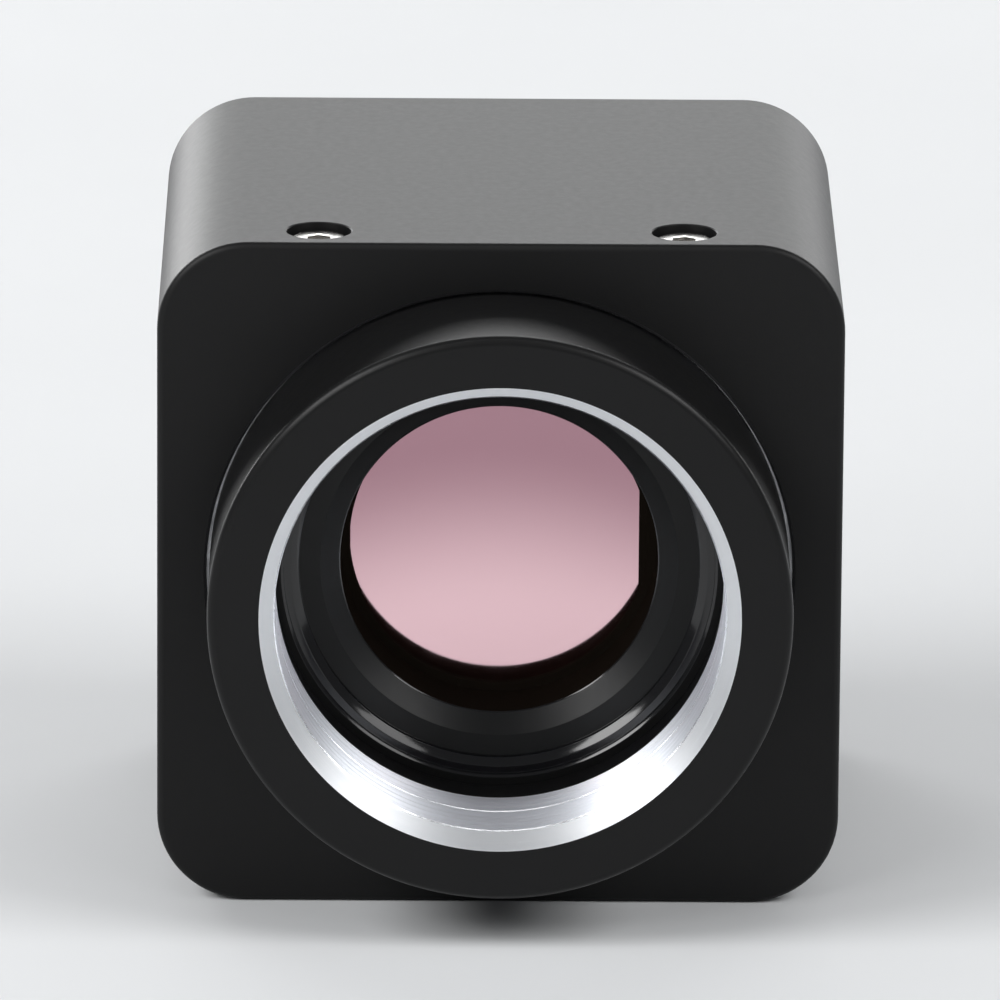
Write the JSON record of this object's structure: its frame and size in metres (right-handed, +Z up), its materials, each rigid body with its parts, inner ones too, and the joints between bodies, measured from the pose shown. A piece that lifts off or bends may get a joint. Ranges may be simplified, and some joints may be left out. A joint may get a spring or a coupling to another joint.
{
  "type": "machine vision camera",
  "caption": "Compact cube-shaped machine vision camera with a round screw lens mount, an infrared-cut filter in front of the sensor, and power and data sockets at the rear.",
  "frame": {"origin": "centre of the lens flange, the front face of the mount ring", "axes": "-Y out of the lens mount towards the scene, +Y back along the optical axis, +Z up, +X to the right seen from the front"},
  "size_m": [0.038, 0.046, 0.038],
  "materials": {
    "black_anodised": "matt black anodised aluminium",
    "mount_ring": "black anodised outside, bare machined aluminium in the mouth and thread",
    "black_insert": "satin black anodised, dark inside",
    "block_metal": "machined aluminium",
    "steel": "stainless steel screws and shim",
    "filter_glass": "pink infrared-cut coating",
    "sealing_rubber": "black silicone",
    "ceramic": "sensor package ceramic",
    "silicon": "sensor die",
    "cover_glass": "sensor cover glass",
    "board": "green solder resist",
    "chip_plastic": "moulded chip packages and connectors",
    "thermal_silicone": "grey-blue gap filler",
    "spreader_metal": "folded aluminium sheet",
    "socket_shell": "nickel-plated sockets",
    "socket_insert": "black moulded insert",
    "gold_contact": "gold-plated pins",
    "clear_plastic": "clear light pipe"
  },
  "bodies": {
    "root": {"housing": "black_anodised", "rear_cover": "black_anodised", "front_screws": "steel", "rear_cover_screws": "steel", "lens_mount_ring": "mount_ring", "focus_shim": "steel", "mount_block": "block_metal", "filter_holder": "black_insert", "ir_cut_filter": "filter_glass", "filter_gasket": "sealing_rubber", "sensor_package": "ceramic", "sensor_die": "silicon", "sensor_glass": "cover_glass", "sensor_board": "board", "processor_board": "board", "interface_board": "board", "front_spacers": "steel", "middle_spacers": "steel", "rear_spacers": "steel", "board_screws": "steel", "sensor_plug": "chip_plastic", "sensor_socket": "chip_plastic", "link_plug": "chip_plastic", "link_socket": "chip_plastic", "processor_chip": "chip_plastic", "thermal_pad": "thermal_silicone", "memory_chips": "chip_plastic", "interface_chip": "chip_plastic", "power_inductors": "chip_plastic", "heat_spreader": "spreader_metal", "usb_shell": "socket_shell", "usb_tongues": "socket_insert", "io_shell": "socket_shell", "io_insert": "socket_insert", "io_pins": "gold_contact", "io_nut": "socket_shell", "light_pipe": "clear_plastic", "status_led": "chip_plastic"}
  },
  "joints": []
}
